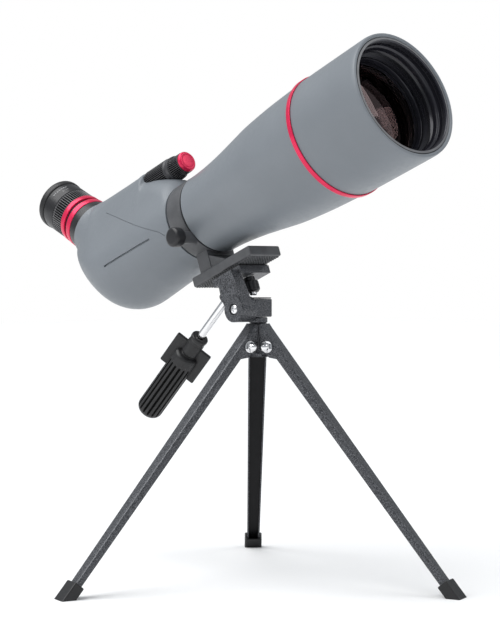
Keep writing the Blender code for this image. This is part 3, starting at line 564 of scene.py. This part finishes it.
def make_objective():
    """The cell with its stepped and grooved bore, the retaining ring and the front lens."""
    cell = [(44.9, -13.2), (44.9, -23.7), (42.3, -23.7), (42.3, -46), (36.5, -46), (36.5, -44.2)]
    cell += [(38.8, -44.2), (38.8, -29.0), (40.0, -29.0)]
    cell += threads(40.0, -22.8, -15.4, 0.62, 0.4) + [(40.6, -14.4), (41.8, -13.2)]
    shown = turned_object("objective_cell_bore", OPTICS, cell, 200)
    show(shown, "black_metal", "scope_body", "objective_cell")
    retainer = [(39.8, -23.2), (39.8, -28.7), (36.8, -28.7), (37.1, -27.9), (38.4, -24.4), (38.9, -23.2)]
    shown = turned_object("lens_ring_cone", OPTICS, rounded(retainer, 0.25), 200)
    show(shown, "black_metal", "scope_body", "lens_retaining_ring")
    radius = 38.5
    front = []
    for i in range(13):
        reach = radius * i / 12
        front.append((reach, -26.4 - 2.9 * (reach / radius) ** 2))
    rear = []
    for i in range(9):
        reach = radius * (1 - i / 8)
        rear.append((reach, -33.3 - 1.5 * (1 - (reach / radius) ** 2)))
    lens = turned_object("front_lens_glass", OPTICS, front + rear, 160)
    show(lens, "glass", "scope_body", "objective_lens_front")
    flint = [(0, -36.6)]
    flint += [(radius * i / 8, -36.6 + 1.4 * (i / 8) ** 2) for i in range(1, 9)]
    flint += [(radius, -43.9), (0, -43.9)]
    lens = turned_object("rear_lens_glass", OPTICS, flint, 160)
    show(lens, "glass", "scope_body", "objective_lens_rear")


# ---------------------------------------------------------------- prism housing

# Stations of the housing: station, height and radius of its round belly, height and radius of its ridge.
HOUSING_STATIONS = [
    (-236.5, 0.0, 32.5, 2.0, 31.0),
    (-242.0, 0.0, 33.2, 10.0, 29.3),
    (-252.0, -0.8, 34.2, 18.5, 26.5),
    (-262.0, -1.4, 35.0, 24.5, 24.6),
    (-273.0, -2.2, 35.7, 30.0, 22.7),
    (-276.5, -2.4, 35.9, 42.0, 18.0),
    (-284.0, -2.8, 36.0, 43.6, 16.5),
    (-300.0, -3.6, 36.4, 43.7, 16.4),
    (-318.0, -4.6, 36.4, 43.0, 17.2),
    (-331.0, -3.0, 35.6, 41.2, 19.0),
    (-342.0, 1.2, 34.0, 38.6, 22.0),
    (-352.0, 8.0, 30.6, 34.0, 22.0),
    (-361.0, 15.6, 26.0, 29.5, 21.0),
    (-368.5, 21.8, 20.0, 28.5, 17.0),
    (-374.0, 26.6, 12.8, 29.0, 12.0),
    (-377.2, 29.4, 6.0, 30.5, 5.5),
]
FOCUS_HEIGHT = 50.7
COARSE_REAR = -275.3


def arc(centre, radius, start, end, count):
    """Points of an arc in degrees."""
    turns = [math.radians(start + (end - start) * i / (count - 1)) for i in range(count)]
    return [(centre[0] + radius * math.cos(t), centre[1] + radius * math.sin(t)) for t in turns]


def housing_loft(name, inset=0.0):
    """The skin over the housing's stations, as a closed body."""
    shape = bmesh.new()
    rings = []
    for station, belly, belly_radius, ridge, ridge_radius in curve_through(HOUSING_STATIONS, 4):
        belly_radius -= inset
        ridge_radius = max(ridge_radius - inset, 1.0)
        lean = math.degrees(math.acos((belly_radius - ridge_radius) / (ridge - belly)))
        outline = arc((ridge, 0), ridge_radius, -lean, lean, 33)
        outline += arc((belly, 0), belly_radius, lean, 360 - lean, 63)
        rings.append([shape.verts.new(Vector((up, right, station)) * MM) for up, right in outline])
    count = len(rings[0])
    for first, second in zip(rings, rings[1:]):
        for i in range(count):
            j = (i + 1) % count
            shape.faces.new((first[i], first[j], second[j], second[i]))
    shape.faces.new(rings[0])
    shape.faces.new(rings[-1])
    return bare(name, mesh_from(shape, name), OPTICS)


def make_housing():
    housing = housing_loft("housing_armour")
    boss_profile = [(0, 61.5), (23.8, 61.5), (24.4, 60.9), (24.4, 25), (0, 25)]
    boss = turned_object("socket_boss", EYEPIECE, boss_profile, 128)
    combine(housing, "UNION", boss)
    pocket = rod_object("knob_pocket", OPTICS, 11.2, -230, COARSE_REAR - 0.5, 96, (FOCUS_HEIGHT, 0))
    socket = rod_object("eyepiece_socket", EYEPIECE, 22.2, 90, 47.5, 128)
    front = rod_object("front_bore", OPTICS, 27.3, -230, -246, 96)
    combine(housing, "DIFFERENCE", pocket, socket, front)
    creases = []
    for side in (-1, 1):
        near, far = sorted((side * 18, side * 45))
        creases.append(slab_object("crease", OPTICS, crease_outline(), *sorted((side * 6, side * 45))))
        slot = box_object("slot", OPTICS, (-6.5, near, -318.5), (-4.9, far, -259))
        core = housing_loft("slot_floor", 1.4)
        creases.append(combine(slot, "DIFFERENCE", core))
    for crease in creases[::2]:
        combine(crease, "DIFFERENCE", housing_loft("crease_floor", 0.6))
    combine(housing, "DIFFERENCE", *creases)
    smooth(housing.data, 32)
    show(housing, "armour", "scope_body", "prism_housing")


CREASE = [(42.5, -320.5), (21.0, -287.7), (-4.6, -247.4), (-9.8, -242.8)]
CREASE_WIDTH = 0.4


def crease_outline():
    """A thin band along the crease line, as (up, station) points."""
    upper = [(up + CREASE_WIDTH * 0.84, station + CREASE_WIDTH * 0.54) for up, station in CREASE]
    return list(CREASE) + upper[::-1]


# ---------------------------------------------------------------- focus knobs


def make_focus():
    at = (FOCUS_HEIGHT, 0)
    cap = [(0, -229.9), (5.2, -229.9), (5.6, -230.2), (6.0, -229.9), (7.2, -229.9, 0.8), (8.4, -231.2)]
    cap += [(8.4, -233.0), (0, -233.0)]
    shown = turned_object("red_knob_cap", OPTICS, rounded(cap, 0.25, closed=False), 96, at=at)
    show(shown, "red_metal", "fine_focus_body", "fine_knob_cap")
    fine = [(8.7, -233.3, 0.4), (8.7, -241.2), (9.9, -242.6), (9.9, -244.9), (2.8, -244.9), (2.8, -233.3)]
    fine = densify(rounded(fine, 0.4), 0.9)
    # The ridges take the lightened black as a painted highlight, and the groove floors take painted shade.
    grooves = ribs(-244.6, -233.7, 36, 0.7)
    shown = turned_object("fine_knob_grip", OPTICS, fine, 288, grooves, at)
    show(shown, "plastic", "fine_focus_body", "fine_focus_knob", shade="rib_tops_painted_highlight", second="bore_black_and_groove_shade")
    coarse = [(10.1, -245.2), (10.1, -248.2), (9.5, -248.7), (10.6, -249.8), (10.6, COARSE_REAR)]
    coarse += [(2.8, COARSE_REAR), (2.8, -245.2)]
    coarse = densify(rounded(coarse, 0.35), 1.2)
    # The ridges take the lightened black as a painted highlight, and the groove floors take painted shade.
    grooves = ribs(COARSE_REAR + 0.2, -250.0, 42, 0.7)
    shown = turned_object("coarse_knob_grip", OPTICS, coarse, 336, grooves, at)
    show(shown, "plastic", "coarse_focus_body", "coarse_focus_knob", shade="rib_tops_painted_highlight", second="bore_black_and_groove_shade")


def densify(points, spacing):
    """Adds points along an outline so that no step is longer than the spacing."""
    out = []
    for i, point in enumerate(points):
        here, ahead = Vector(point), Vector(points[(i + 1) % len(points)])
        pieces = max(1, math.ceil((ahead - here).length / spacing))
        out += [tuple(here.lerp(ahead, k / pieces)) for k in range(pieces)]
    return out


# ---------------------------------------------------------------- eyepiece


EYEPIECE_RADIUS = 21.2
EYEPIECE_BORE = 17.5


def make_eyepiece():
    base = [(21.9, 71.7, 0.6), (21.9, 50), (EYEPIECE_BORE, 50), (EYEPIECE_BORE, 71.7)]
    shown = turned_object("base_collar_shell", EYEPIECE, rounded(base), 160)
    show(shown, "plastic", "scope_body", "eyepiece_base_collar")
    lock = [(22.1, 77.4, 0.6), (22.1, 72.0, 0.6), (EYEPIECE_BORE, 72.0), (EYEPIECE_BORE, 77.4)]
    shown = turned_object("lock_ring_shell", EYEPIECE, rounded(lock), 160)
    show(shown, "red_metal", "scope_body", "eyepiece_lock_ring")
    accent = [(21.7, 86.0, 0.6), (21.7, 81.0, 0.6), (EYEPIECE_BORE, 81.0), (EYEPIECE_BORE, 86.0)]
    shown = turned_object("eyepiece_accent_band", EYEPIECE, rounded(accent), 160)
    show(shown, "red_metal", "scope_body", "eyepiece_accent_ring")
    core = [(14.2, 112), (17.2, 112), (17.2, 80.7), (20.3, 80.7), (20.3, 77.7), (17.2, 77.7), (17.2, 48.5)]
    core += [(14.2, 48.5)]
    core += threads(14.2, 60, 104, 1.1, 0.3)
    show(turned_object("barrel_core", EYEPIECE, core, 128), "black_metal", "scope_body", "eyepiece_barrel")
    zoom = [(EYEPIECE_RADIUS, 99.4, 0.5), (EYEPIECE_RADIUS, 86.3, 0.5)]
    zoom += [(EYEPIECE_BORE, 86.3), (EYEPIECE_BORE, 99.4)]
    zoom = densify(rounded(zoom), 1.0)
    # The ridges take the lightened black as a painted highlight, and the groove floors take painted shade.
    shown = turned_object("zoom_ring_grip", EYEPIECE, zoom, 504, ribs(86.7, 98.9, 63, 0.8))
    show(shown, "rubber", "zoom_ring_body", "zoom_ring", shade="rib_tops_painted_highlight", second="bore_black_and_groove_shade")
    sleeve = [(21.0, 113.5, 0.5), (EYEPIECE_RADIUS, 112.6), (EYEPIECE_RADIUS, 99.7, 0.5)]
    sleeve += [(EYEPIECE_BORE, 99.7), (EYEPIECE_BORE, 101.4), (19.6, 101.4), (19.6, 113.5)]
    shown = turned_object("twist_sleeve_shell", EYEPIECE, rounded(sleeve, 0.2), 160)
    show(shown, "plastic", "eyecup_twist_body", "eyecup_twist_sleeve")
    print_row("20 25 30 35 40 50 60", 1.7, -38, 108.2)
    print_row("0  1  2  3", 1.5, -28, 104.6)
    cup = [(16.6, 120.9, 1.0), (19.4, 120.9), (21.4, 120.1), (21.9, 118.2), (21.8, 115.0, 0.8), (21.3, 113.8)]
    cup += [(19.3, 113.8), (19.3, 102.6), (EYEPIECE_BORE, 102.6), (EYEPIECE_BORE, 112.8)]
    cup += [(15.6, 114.2, 1.0), (15.9, 118)]
    shown = turned_object("eyecup_rubber", EYEPIECE, rounded(cup, 0.9, 5), 160)
    show(shown, "rubber", "eyecup_body", "eyecup")


def print_row(text, height, middle, station):
    """Plain white numbers that follow the sleeve's curve; middle is an angle in degrees."""
    curve = bpy.data.curves.new("scale_numbers", "FONT")
    curve.body = text
    curve.size = height
    curve.align_x = "CENTER"
    curve.extrude = 0.03
    flat = bare("scale_numbers_flat", curve, EYEPIECE)
    graph = bpy.context.evaluated_depsgraph_get()
    mesh = bpy.data.meshes.new_from_object(flat.evaluated_get(graph))
    bpy.data.objects.remove(flat)
    for vert in mesh.vertices:
        turn = math.radians(middle) + vert.co.x / EYEPIECE_RADIUS
        reach = EYEPIECE_RADIUS + vert.co.z
        vert.co = Vector((reach * math.cos(turn), reach * math.sin(turn), station + vert.co.y)) * MM
    shown = bare("scale_numbers", mesh, EYEPIECE)
    show(shown, "plastic", "eyecup_twist_body", "eyecup_twist_sleeve", shade="print")


# ---------------------------------------------------------------- collar and foot plate


def make_collar():
    band = [(32.7, -218.3, 0.9), (32.7, -235.0, 0.9), (29.6, -235.0), (29.6, -218.3)]
    band = turned_object("collar_band", OPTICS, rounded(band, 0.3), 180)
    post = box_object("post", OPTICS, (-48, -14, -233), (-27, 14, -220))
    gusset_outline = [(-47, -222), (-47, -201), (-43.5, -204), (-39, -212), (-35, -218.8), (-33, -222)]
    gusset = slab_object("gusset", OPTICS, gusset_outline, -13.5, 13.5)
    boss = turned_object("boss", CLAMP, [(0, 35.5), (4.6, 35.5), (5.0, 35.1), (5.0, 22), (0, 22)], 64)
    combine(band, "UNION", post, gusset, boss)
    journal = rod_object("journal", OPTICS, 29.6, -210, -240, 180)
    tube_room = rod_object("tube_room", OPTICS, 33.3, -206, -217.9, 180)
    combine(band, "DIFFERENCE", journal, tube_room)
    soften(band, 0.5)
    show(band, "gray_metal", "tilting_platform", "mount_collar")
    plate = box_object("foot_plate", OPTICS, (-53.2, -16.4, -242.3), (-45.1, 16.4, -172.2))
    soften(plate, 1.4, 3)
    show(plate, "gray_metal", "tilting_platform", "mount_collar")
    make_studs()
    knob = [(0, 46.2), (5.6, 46.2, 0.8), (7.4, 45.2, 1.0), (7.7, 43.6), (7.7, 39.0), (7.1, 37.2), (4.4, 36.2)]
    knob += [(2.5, 36.2), (2.5, 28.4), (0, 28.4)]
    knob = turned_object("clamp_knob_grip", CLAMP, rounded(knob, 0.4, closed=False), 96)
    show(knob, "plastic", "clamp_knob_body", "collar_clamp_knob")


STUD_PITCH = 2.6


def make_studs():
    """A grid of small square studs under the foot plate."""
    shape = bmesh.new()
    for row in range(26):
        for column in range(12):
            station = -240.2 + STUD_PITCH * row
            right = STUD_PITCH * (column - 5.5)
            ends = []
            for up, half in ((-53.0, 0.85), (-53.9, 0.5)):
                corners = [(-half, -half), (half, -half), (half, half), (-half, half)]
                spots = [Vector((up, right + a, station + b)) * MM for a, b in corners]
                ends.append([shape.verts.new(spot) for spot in spots])
            shape.faces.new(ends[0])
            shape.faces.new(ends[1])
            for i in range(4):
                j = (i + 1) % 4
                shape.faces.new((ends[0][i], ends[0][j], ends[1][j], ends[1][i]))
    studs = bare("foot_plate_studs", mesh_from(shape, "foot_plate_studs"), OPTICS)
    show(studs, "gray_metal", "tilting_platform", "mount_collar")


# ---------------------------------------------------------------- tripod head

PLATFORM_TOP = 33.1


def make_head():
    platform_low, platform_high = (-25.5, -15.5, PLATFORM_TOP - 6.2), (7.6, 15.5, PLATFORM_TOP)
    head = box_object("tilt_head_casting", TILT, platform_low, platform_high)
    arm_outline = [(-9.0, 0), (9.5, 0), (8.6, 12), (5.6, PLATFORM_TOP - 3), (-14.5, PLATFORM_TOP - 3)]
    arm_outline += [(-12.0, 22), (-12.5, 12)]
    arm = slab_object("arm", TILT, arm_outline, -23.4, -14.0)
    side = axes(joint_point("tilt"), (0, 1, 0), FORWARD)
    barrel = rod_object("barrel", side, 9.8, -9.6, -26.0, 96)
    lug = rod_object("lug", HANDLE, 6.6, 22.0, 10.4, 64)
    combine(head, "UNION", arm, barrel, lug)
    counterbore = rod_object("counterbore", side, 4.3, -23.6, -28, 64)
    lug_bore = rod_object("lug_bore", HANDLE, 3.4, 19, 0, 48)
    slit = box_object("slit", HANDLE, (0, -0.6, 6), (9, 0.6, 17))
    combine(head, "DIFFERENCE", counterbore, lug_bore, slit)
    soften(head, 0.9, 3)
    show(head, "cast_paint", "tilting_platform", "tilt_head")
    bolt = [(0, -26.3), (1.5, -26.25), (3.2, -25.6, 0.5), (3.9, -24.9), (3.9, -23.9)]
    bolt += [(3.0, -23.9), (3.0, 8.3), (0, 8.3)]
    bolt = turned_object("tilt_bolt_head", side, rounded(bolt, 0.3, closed=False), 64)
    recess_a = box_object("recess_a", side, (-2.2, -0.45, -27), (2.2, 0.45, -25.2))
    recess_b = box_object("recess_b", side, (-0.45, -2.2, -27), (0.45, 2.2, -25.2))
    combine(bolt, "DIFFERENCE", recess_a, recess_b)
    smooth(bolt.data, 30)
    show(bolt, "steel", "pan_head", "tilt_bolt")
    block = box_object("pan_block_casting", PAN, (-7, -8.3, 201.9), (7, 8.3, 215.6))
    soften(block, 0.9, 3)
    show(block, "cast_paint", "pan_head", "pan_block")


def make_camera_screw():
    screw = [(0, 5.6), (2.6, 5.6), (3.0, 5.1), (3.0, -22.5), (2.5, -23.0), (0, -23.0)]
    show(turned_object("camera_screw_shank", PLATE, screw, 64), "steel", "camera_screw_body", "camera_screw")
    knob = [(4.4, -8.4), (4.4, -11.8), (6.0, -12.2, 0.5), (6.3, -13.0, 0.4), (6.3, -19.0, 0.6)]
    knob += [(4.8, -20.6, 0.5), (3.3, -20.6), (3.3, -8.4)]
    grip = ribs(-19.6, -12.6, 12, 0.5, 0.5, 0.4)
    shown = turned_object("camera_knob_grip", PLATE, densify(rounded(knob, 0.3), 0.8), 144, grip)
    show(shown, "plastic", "camera_screw_body", "camera_screw_knob")


def make_handle():
    rod = [(0, 18.5), (3.1, 18.5), (3.1, -48), (0, -48)]
    shown = turned_object("handle_rod_chrome", HANDLE, rounded(rod, 0.3, closed=False), 64)
    show(shown, "steel", "pan_handle", "handle_rod")
    grip = [(0, -48.6), (3.4, -48.6), (3.4, -32), (6.3, -32, 0.5), (7.0, -32.8), (7.0, -35), (6.6, -35.8)]
    grip += [(6.6, -38.4), (6.9, -39), (6.9, -49.6), (6.2, -50.4), (6.2, -51.4)]
    grip += [(8.8, -52, 0.6), (10.3, -53.6, 1.0), (10.5, -60), (10.5, -118, 3.0)]
    grip += [(8.6, -121.2, 2.0), (4, -122.2, 1.0), (0, -122.2)]
    grip = densify(rounded(grip, 0.5, closed=False), 2.0)[:-1]
    grip = [point for point in grip if point[0] > 0.01]
    grip = [(0, -48.6)] + grip + [(0, -122.2)]
    # The flute floors take the near-black paint as painted shade.
    flutes = ribs(-117.5, -60, 16, 1.1, 2.5, 0.3)
    shown = turned_object("handle_grip_fluted", HANDLE, grip, 300, flutes)
    smooth(shown.data, 50)
    show(shown, "rubber", "pan_handle", "handle_grip", second="bore_black_and_groove_shade")
    roll = Matrix.Rotation(math.radians(32.6), 4, "Z")
    for side in (-1, 1):
        low, high = sorted((side * 5.0, side * 16.2))
        wing = box_object(f"grip_wing_{side + 1}", HANDLE @ roll, (low, -1.5, -72.4), (high, 1.5, -41.4))
        soften(wing, 1.1, 3)
        show(wing, "rubber", "pan_handle", "handle_grip")


# ---------------------------------------------------------------- legs


LEG_TOP = 17.0
LEG_LENGTH = 243.0
LEG_WALL = 1.2
SHARP = 0.01


def leg_section(station):
    """The channel's outline at a station, as (out, across) points, outside then inside."""
    down = (LEG_TOP - station) / LEG_LENGTH
    half = 7.3 + (5.2 - 7.3) * down
    web = 7.0 + (3.0 - 7.0) * down
    edge = -4.4 + 4.4 * min(1, max(0, (-7 - station) / 5))
    edge += (-1.8 - edge) * max(0, (-12 - station) / 214)
    if station > 5:
        edge = -4.0 + (station - 5) * 0.7
    outside = [(edge, -half, SHARP), (web, -half, 2.0), (web, half, 2.0), (edge, half, SHARP)]
    inner, depth = half - LEG_WALL, web - LEG_WALL
    inside = [(edge, inner, SHARP), (depth, inner, 1.2), (depth, -inner, 1.2), (edge, -inner, SHARP)]
    return rounded(outside, steps=5), rounded(inside, steps=5)


def make_leg(side):
    place = leg_frame(side)
    shape = bmesh.new()
    stations = [17, 15.5, 12, 8, 5, 0, -4, -7, -9, -12, -20, -60, -100, -140, -180, -220, -226]
    rings = []
    for station in stations:
        outside, inside = leg_section(station)
        spots = [Vector((out, across, station)) * MM for out, across in outside + inside]
        rings.append([shape.verts.new(spot) for spot in spots])
    count = len(rings[0])
    outer_count = len(leg_section(0)[0])
    for first, second in zip(rings, rings[1:]):
        for i in range(count):
            j = (i + 1) % count
            face = shape.faces.new((first[i], first[j], second[j], second[i]))
            # Inner faces of the channel take the dark paint, which is partly painted shade.
            face.material_index = int(outer_count <= i < count - 1)
    for row in (rings[0], rings[-1]):
        for i in range(outer_count - 1):
            shape.faces.new((row[i], row[i + 1], row[count - 2 - i], row[count - 1 - i]))
    mesh = mesh_from(shape, f"leg_channel_{side}")
    smooth(mesh, 30)
    leg = bare(f"leg_channel_{side}", mesh, place)
    # The channel's inner faces take black paint darkened as painted shade.
    show(leg, "cast_paint", f"leg_{side}_body", f"leg_{side}", second="shaded_inside_paint")
    make_pivot(side, place)


def make_pivot(side, place):
    """The bolt and the acorn nut that hold a leg, each with its washer."""
    pin = place @ Matrix.Rotation(-math.pi / 2, 4, "X")
    for label, way, end in (("bolt", 1, -10.0), ("nut", -1, -10.3)):
        dome = [(0, 15.0), (1.5, 14.7), (2.6, 13.7), (3.1, 12.4), (3.3, 11.2), (3.3, 9), (0, 9)]
        dome = [(radius, station * way) for radius, station in dome]
        cap = turned_object("dome", pin, dome[::way], 64)
        hexagon = [(0, 11.4), (3.6, 11.4), (4.1, 10.9), (4.1, 8.3), (0, 8.3)]
        hexagon = turned_object("hexagon", pin, [(radius, station * way) for radius, station in hexagon], 6)
        washer = [(0, 8.3 * way), (4.5, 8.3 * way), (4.5, 7.6 * way), (0, 7.6 * way)]
        washer = turned_object("washer", pin, washer, 64)
        combine(cap, "UNION", hexagon, washer)
        if label == "bolt":
            combine(cap, "UNION", rod_object("shank", pin, 2.0, 9, end, 48))
        smooth(cap.data, 30)
        show(cap, "steel", "tripod_base", f"pivot_{label}_{side}")


def soften_node(name, width):
    """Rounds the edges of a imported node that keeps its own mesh."""
    node = frame["nodes"][name]
    weld = node.modifiers.new("weld", "WELD")
    weld.merge_threshold = 0.00002
    edges = node.modifiers.new("soft_edges", "BEVEL")
    edges.width = width * MM
    edges.segments = 2
    edges.limit_method = "ANGLE"
    edges.angle_limit = math.radians(35)


# ---------------------------------------------------------------- stage, light and camera

CAMERA_FROM_PAN = Vector((0.9789, -0.91435, 0.2334))
CAMERA_AZIMUTH = math.radians(47.22)
CAMERA_ELEVATION = math.radians(1.37)
CAMERA_LENS = 99.12


def make_camera():
    data = bpy.data.cameras.new("camera")
    data.sensor_fit = "VERTICAL"
    data.sensor_height = 36
    data.lens = CAMERA_LENS
    camera = bpy.data.objects.new("camera", data)
    bpy.context.scene.collection.objects.link(camera)
    level = math.cos(CAMERA_ELEVATION)
    sideways, ahead = math.sin(CAMERA_AZIMUTH) * level, -math.cos(CAMERA_AZIMUTH) * level
    back = Vector((sideways, ahead, math.sin(CAMERA_ELEVATION)))
    right = Vector((math.cos(CAMERA_AZIMUTH), math.sin(CAMERA_AZIMUTH), 0))
    turned_axes = Matrix((right, back.cross(right), back)).transposed().to_4x4()
    camera.matrix_world = Matrix.Translation(PAN.translation + CAMERA_FROM_PAN) @ turned_axes
    bpy.context.scene.camera = camera


def area_light(name, spot, target, size, power):
    data = bpy.data.lights.new(name, "AREA")
    data.shape = "RECTANGLE"
    data.size, data.size_y = size
    data.energy = power
    light = bpy.data.objects.new(name, data)
    spot, target = Vector(spot), Vector(target)
    light.matrix_world = axes(spot, spot - target, (0, 0, 1))
    bpy.context.scene.collection.objects.link(light)


def make_stage():
    mesh = bpy.data.meshes.new("floor")
    reach = 6.0
    corners = [(-reach, -reach, 0), (reach, -reach, 0), (reach, reach, 0), (-reach, reach, 0)]
    mesh.from_pydata(corners, [], [(0, 1, 2, 3)])
    floor = bpy.data.objects.new("floor", mesh)
    bpy.context.scene.collection.objects.link(floor)
    made, _, _ = principled("pale_floor", (0.9, 0.9, 0.9), 0.7)
    mesh.materials.append(made)
    make_world()
    area_light("panel", (1.65, 1.05, 2.05), (0.1, 0, 0.25), (0.95, 1.7), 12)
    area_light("left", (-0.5, -1.9, 1.5), (0, 0, 0.25), (1.3, 1.3), 9)
    sun = bpy.data.objects.new("sky_light", bpy.data.lights.new("sky_light", "SUN"))
    sun.data.energy = 2.7
    sun.data.angle = math.radians(60)
    sun.matrix_world = axes((0, 0, 2), (-0.25, -0.45, 1.0))
    bpy.context.scene.collection.objects.link(sun)


def make_world():
    """White where the camera sees it, and a dimmer even light on everything."""
    world = bpy.data.worlds.new("studio")
    world.use_nodes = True
    tree = world.node_tree
    seen = tree.nodes["Background"]
    seen.inputs["Color"].default_value = (1, 1, 1, 1)
    seen.inputs["Strength"].default_value = 1.0
    ambient = tree.nodes.new("ShaderNodeBackground")
    ambient.inputs["Color"].default_value = (0.92, 0.96, 1.0, 1)
    ambient.inputs["Strength"].default_value = 0.45
    path = tree.nodes.new("ShaderNodeLightPath")
    mix = tree.nodes.new("ShaderNodeMixShader")
    tree.links.new(path.outputs["Is Camera Ray"], mix.inputs["Fac"])
    tree.links.new(ambient.outputs["Background"], mix.inputs[1])
    tree.links.new(seen.outputs["Background"], mix.inputs[2])
    tree.links.new(mix.outputs["Shader"], tree.nodes["World Output"].inputs["Surface"])
    bpy.context.scene.world = world


bpy.context.scene.view_settings.view_transform = "Standard"
repaint_nodes()
make_camera()
make_stage()
make_hood()
make_tube()
make_objective()
make_housing()
make_focus()
make_eyepiece()
make_collar()
make_head()
make_camera_screw()
make_handle()
for leg_side in ("left", "right", "rear"):
    make_leg(leg_side)
    soften_node(f"foot_cap_{leg_side}", 0.5)
soften_node("tripod_crown", 0.4)
soften_node("pan_block_cap", 0.25)
